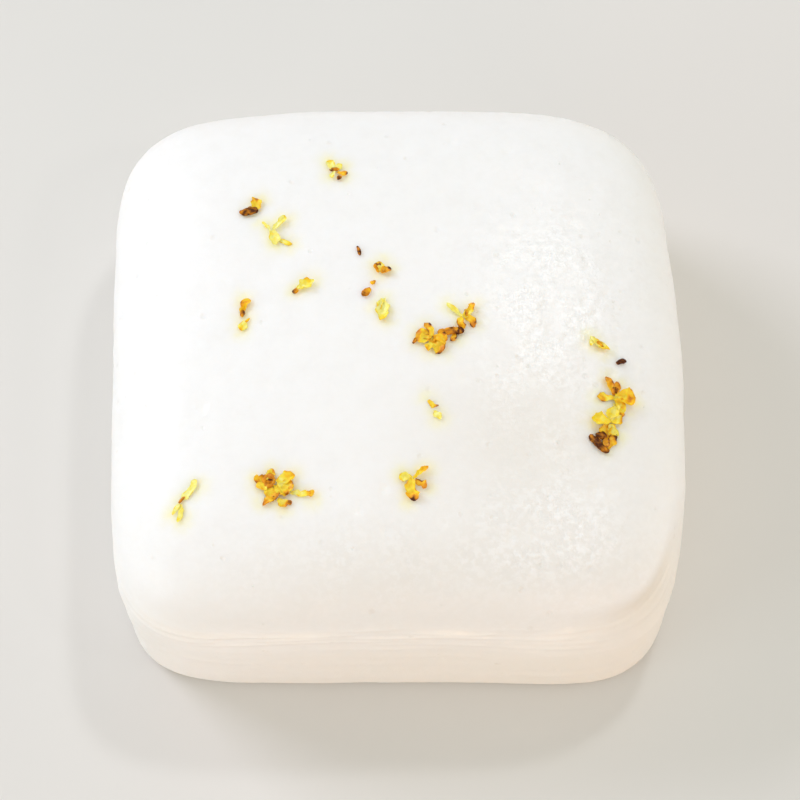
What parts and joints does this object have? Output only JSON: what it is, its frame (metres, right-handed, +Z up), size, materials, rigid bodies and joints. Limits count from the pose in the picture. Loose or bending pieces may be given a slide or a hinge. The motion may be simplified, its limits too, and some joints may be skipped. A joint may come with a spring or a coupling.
{
  "type": "osmanthus cake",
  "caption": "Soft white steamed rice cake, a rounded square pillow with a flat base, with small yellow osmanthus blossoms set into its top.",
  "frame": {"origin": "middle of the flat base that the cake rests on", "axes": "+Z up through the cake, -Y the cake's front as the picture shows it, +X its right"},
  "size_m": [0.068, 0.0672, 0.0311],
  "materials": {
    "cake": "satin, moist, slightly translucent white crumb"
  },
  "bodies": {
    "root": {"cake": "cake"}
  },
  "joints": []
}
